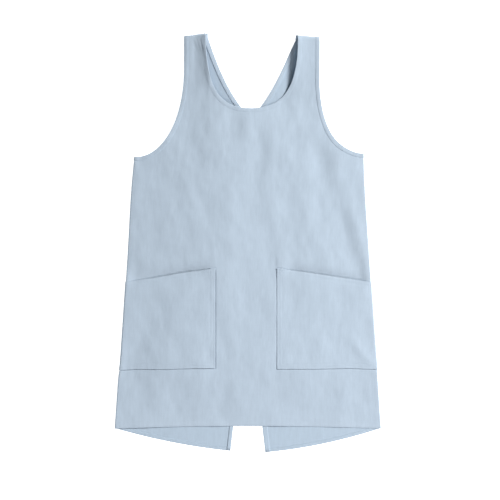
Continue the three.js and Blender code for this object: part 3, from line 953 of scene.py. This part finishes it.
def armhole_band_edge(side):
    arm = armhole(side, 2 * (YOKE_ROWS + NECK_ROWS))
    shoulder = over_shoulder(STRAP_HALF, side, -1)
    return mirrored(np.concatenate([round_underarm(side), arm, shoulder]), side)


def back_band_edge(side):
    neck = edge_along(back_neck_path(side), 2 * STRAP_ROWS, 1)
    shoulder = over_shoulder(-BACK_NECK_HALF, -side, -1)
    return mirrored(np.concatenate([round_underarm(side), neck, shoulder]), side)


# Rows of stitches


def stitch_row(surface, places, lift):
    """Middle, length, width and height directions of the stitches in one row."""
    points = lay_on(surface, places, lift)
    upright = square_to(surface, places)
    lengths = lengths_along(points)
    middles = np.arange(STITCH_PITCH, lengths[-1] - STITCH_PITCH / 2, STITCH_PITCH)
    reach = STITCH_PITCH / 3
    ahead = unit(rows_at(points, lengths, middles + reach) - rows_at(points, lengths, middles - reach))
    up = unit(rows_at(upright, lengths, middles))
    ahead = unit(ahead + STITCH_SLANT * np.cross(up, ahead))
    return np.stack([rows_at(points, lengths, middles), ahead, np.cross(up, ahead), up], axis=1)


def make_stitches(name, rows):
    """One mesh of small rounded threads, a copy of one thread on every stitch."""
    bm = bmesh.new()
    bmesh.ops.create_uvsphere(bm, u_segments=6, v_segments=4, radius=0.5)
    thread = np.array([(knot.co.z, knot.co.x, knot.co.y) for knot in bm.verts]) * STITCH_SIZE
    faces = [[knot.index for knot in face.verts] for face in bm.faces]
    bm.free()
    stitches = np.concatenate(rows)
    knots = stitches[:, None, 0] + np.einsum("ka,nad->nkd", thread, stitches[:, 1:])
    starts = np.arange(len(stitches)) * len(thread)
    all_faces = [[start + corner for corner in face] for start in starts for face in faces]
    mesh = bpy.data.meshes.new(name)
    mesh.from_pydata(knots.reshape(-1, 3) * MM, [], all_faces)
    mesh.shade_smooth()
    return add_object(name, mesh)


def pocket_rows(side):
    seam, bottom, mouth = pocket_edges(side)
    found = []
    for distance in POCKET_STITCHES:
        down = inset(seam, distance)[::-1]
        level = inset(bottom, distance)
        down = down[down[:, 1] > POCKET_BOTTOM_Y + distance]
        level = level[np.abs(level[:, 0]) > POCKET_INNER[side] + distance]
        found.extend([down, level])
    found.append(inset(mouth, MOUTH_STITCHES))
    return [stitch_row(front_surface, places, pocket_lift(side, places) + CLOTH / 2) for places in found]


def front_rows():
    found = []
    for side in (-1, 1):
        for edge, skin in ((neck_band_edge(side), NECK_BAND_SKIN), (armhole_band_edge(side), 0)):
            found.append(stitch_row(front_surface, inset(edge, BAND_STITCHES), skin + BAND_GROOVE))
        hem = inset(hem_edge(front_half(side)), HEM_STITCHES)
        found.append(stitch_row(front_surface, hem, FRONT_SKIN))
    return found


def back_rows(side):
    half = back_half(side)
    hem = inset(hem_edge(half), BACK_HEM_STITCHES)
    opening = inset(back_opening(half), EDGE_WIDTHS[side] - EDGE_STITCHES)
    hem = hem[np.abs(hem[:, 0]) > np.abs(opening[0, 0]) + EDGE_STITCHES]
    band = inset(back_band_edge(side), BAND_STITCHES)
    return [
        stitch_row(half.surface, hem, BACK_SKIN),
        stitch_row(half.surface, opening, BACK_SKIN + over_hem(side)(opening)),
        stitch_row(half.surface, band, BACK_BAND_SKIN + BAND_GROOVE),
    ]


# Materials

# Noise per metre across and along the cloth, and its detail
Fibres = namedtuple("Fibres", "across along detail")
SLUBS = Fibres(430, 55, 2)
STREAKS = Fibres(160, 24, 3)
WEFT_SLUBS = Fibres(30, 650, 2)
WANDER = Fibres(90, 90, 2)
THREAD_PITCH = 0.0007  # metres between threads
THREAD_DRIFT = 1.6  # wander of the threads
CROSSING = 0.15  # softness where threads cross
WEFT_SHARE = 0.35
TONE_RANGE = {"From Min": 0.8, "From Max": 1.55}
FIBRE_LEVELS = (0.95, 1.05)  # darkest and lightest fibres
SLUB_RELIEF = 0.8  # beside the threads' height
WEAVE = {"Strength": 0.4, "Distance": 0.0002}
LINEN_SHEEN = {"Roughness": 0.9, "Specular IOR Level": 0.25, "Sheen Weight": 0.12, "Sheen Roughness": 0.5}
PLY = {"Scale": 900.0, "Distortion": 1.5}
THREAD_SHEEN = {"Roughness": 0.7, "Specular IOR Level": 0.3}
LINEN = (0.407, 0.488, 0.576)
# Colour of the backs: the cloth's wrong side, painted a little darker and bluer as shade for where they
# lie under the front
LINEN_INSIDE_SHADED = (0.386, 0.473, 0.564)
BAND_TONE = 0.99  # in shares of the linen's colour
THREAD_TONE = 0.97


def set_inputs(tree, node, inputs):
    for socket, value in inputs.items():
        if isinstance(value, bpy.types.NodeSocket):
            tree.links.new(value, node.inputs[socket])
        else:
            node.inputs[socket].default_value = value


def add_node(tree, kind, inputs=None, **settings):
    made = tree.nodes.new(f"ShaderNode{kind}")
    for name, value in settings.items():
        setattr(made, name, value)
    set_inputs(tree, made, inputs or {})
    return made


def add_math(tree, operation, *values):
    return add_node(tree, "Math", dict(enumerate(values)), operation=operation).outputs[0]


def stretched_noise(tree, pattern, fibres):
    scale = (fibres.across, fibres.along, 1)
    placed = add_node(tree, "Mapping", {"Vector": pattern, "Scale": scale}).outputs[0]
    inputs = {"Vector": placed, "Scale": 1.0, "Detail": fibres.detail}
    return add_node(tree, "TexNoise", inputs).outputs[0]


def fibre_colour(tree, share, colour):
    tint = add_node(tree, "ValToRGB", {"Fac": share})
    for stop, level in zip(tint.color_ramp.elements, FIBRE_LEVELS):
        stop.color = (*[channel * level for channel in colour], 1)
    return tint.outputs[0]


def new_material(name):
    material = bpy.data.materials.new(name)
    material.use_nodes = True
    tree = material.node_tree
    return material, tree, tree.nodes["Principled BSDF"]


def linen(name, colour):
    material, tree, shader = new_material(name)
    pattern = add_node(tree, "UVMap", uv_map="pattern").outputs[0]
    kinds = (SLUBS, STREAKS, WEFT_SLUBS, WANDER)
    slubs, streaks, weft_slubs, wander = (stretched_noise(tree, pattern, kind) for kind in kinds)

    drift = add_math(tree, "MULTIPLY", wander, THREAD_DRIFT)
    split = add_node(tree, "SeparateXYZ", {"Vector": pattern}).outputs
    phases = [add_math(tree, "MULTIPLY_ADD", axis, math.pi / THREAD_PITCH, drift) for axis in split[:2]]
    waves = [add_math(tree, "SINE", phase) for phase in phases]
    rounds = [add_math(tree, "ABSOLUTE", wave) for wave in waves]
    over = add_math(tree, "MULTIPLY", *waves)
    crossing = {"Value": over, "From Min": -CROSSING, "From Max": CROSSING}
    over_share = add_node(tree, "MapRange", crossing).outputs[0]
    threads = add_node(tree, "Mix", {"Factor": over_share, "A": rounds[1], "B": rounds[0]}).outputs[0]

    lengthwise = add_math(tree, "ADD", slubs, streaks)
    tone = add_math(tree, "MULTIPLY_ADD", weft_slubs, WEFT_SHARE, lengthwise)
    share = add_node(tree, "MapRange", {"Value": tone, **TONE_RANGE}).outputs[0]
    relief = add_math(tree, "MULTIPLY_ADD", tone, SLUB_RELIEF, threads)
    bump = add_node(tree, "Bump", {"Height": relief, **WEAVE}).outputs[0]
    looks = {"Base Color": fibre_colour(tree, share, colour), "Normal": bump}
    set_inputs(tree, shader, {**looks, **LINEN_SHEEN})
    return material


def sewing_thread(name, colour):
    """Twisted thread: light and dark along its ply, read from where the stitch lies."""
    material, tree, shader = new_material(name)
    place = add_node(tree, "TexCoord").outputs["Object"]
    ply = add_node(tree, "TexWave", {"Vector": place, **PLY}, bands_direction="DIAGONAL").outputs["Fac"]
    set_inputs(tree, shader, {"Base Color": fibre_colour(tree, ply, colour), **THREAD_SHEEN})
    return material


linen_outside = linen("linen_outside", LINEN)
# The backs' linen: a darker, bluer copy of the front's, partly its wrong side and partly painted shade
linen_inside = linen("linen_inside", LINEN_INSIDE_SHADED)
edge_band = linen("edge_band", [BAND_TONE * channel for channel in LINEN])
thread = sewing_thread("sewing_thread", [THREAD_TONE * channel for channel in LINEN])

# Dressing the frame
SIDES = (("left", -1), ("right", 1))
POCKETS = (("pocket_left", -1), ("pocket_right", 1))


def dress(piece, material, node=None):
    piece.data.materials.append(material)
    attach(piece, "root")
    if node:
        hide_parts(node)
    return piece


front = dress(make_front(), linen_outside, "front_panel")
neck_edges = [neck_band_edge(side) for side in (-1, 1)]
neck_band = make_band("neck_band", front_surface, neck_edges, NECK_BAND_SKIN)
for name, side in POCKETS:
    dress(make_pocket(name, side), linen_outside, name)
for word, side in SIDES:
    dress(make_back(word, side), linen_inside, f"back_panel_{word}")
    make_band(f"armhole_band_{word}", front_surface, [armhole_band_edge(side)], 0)
    back_edges = [back_band_edge(side)]
    make_band(f"back_band_{word}", back_surface(side), back_edges, BACK_BAND_SKIN)

front_stitches = dress(make_stitches("front_stitches", front_rows()), thread)
for word, side in SIDES:
    stitches = dress(make_stitches(f"back_stitches_{word}", back_rows(side)), thread)
for name, side in POCKETS:
    stitches = dress(make_stitches(f"{name}_stitches", pocket_rows(side)), thread)

# Floor, light and camera
FLOOR_REACH = 40.0
PAPER = {
    "Base Color": (0.9, 0.9, 0.9, 1),
    "Roughness": 1.0,
    "Specular IOR Level": 0.0,
    "Emission Color": (1, 1, 1, 1),
    "Emission Strength": 0.92,
}
Light = namedtuple("Light", "name place size power colour")
LIGHTS = [
    Light("key", (3.3, 1.9, 3.1), 1.7, 358, (1, 0.99, 0.98)),
    Light("fill", (0.25, -1.3, 1.6), 1.0, 18, (1, 0.97, 0.985)),
]
SOFT_LIGHT = {"Color": (0.5, 0.86, 1.0, 1), "Strength": 0.045}
BACKDROP = {"Color": (1, 1, 1, 1), "Strength": 1.0}  # what the camera sees past the floor
LENS = 85
CAMERA_PLACE = (0.0044, -0.01575, 2.489)

bm = bmesh.new()
bmesh.ops.create_grid(bm, x_segments=1, y_segments=1, size=FLOOR_REACH)
floor = link_piece("floor", bm)
paper, paper_tree, paper_shader = new_material("paper")
set_inputs(paper_tree, paper_shader, PAPER)
floor.data.materials.append(paper)

for light in LIGHTS:
    lamp = bpy.data.lights.new(light.name, "AREA")
    lamp.color = light.colour
    lamp.shape = "DISK"
    lamp.size = light.size
    lamp.energy = light.power
    stand = add_object(light.name, lamp)
    stand.location = light.place
    stand.rotation_euler = Vector(light.place).to_track_quat("Z", "Y").to_euler()

world = bpy.data.worlds.new("studio")
world.use_nodes = True
studio = world.node_tree
soft_light = studio.nodes["Background"]
set_inputs(studio, soft_light, SOFT_LIGHT)
backdrop = add_node(studio, "Background", BACKDROP)
seen = add_node(studio, "LightPath").outputs["Is Camera Ray"]
sky = add_node(studio, "MixShader", {0: seen, 1: soft_light.outputs[0], 2: backdrop.outputs[0]})
set_inputs(studio, studio.nodes["World Output"], {"Surface": sky.outputs[0]})
bpy.context.scene.world = world

lens = bpy.data.cameras.new("camera")
lens.lens = LENS
camera = add_object("camera", lens)
camera.location = CAMERA_PLACE
bpy.context.scene.camera = camera
bpy.context.scene.view_settings.view_transform = "Standard"
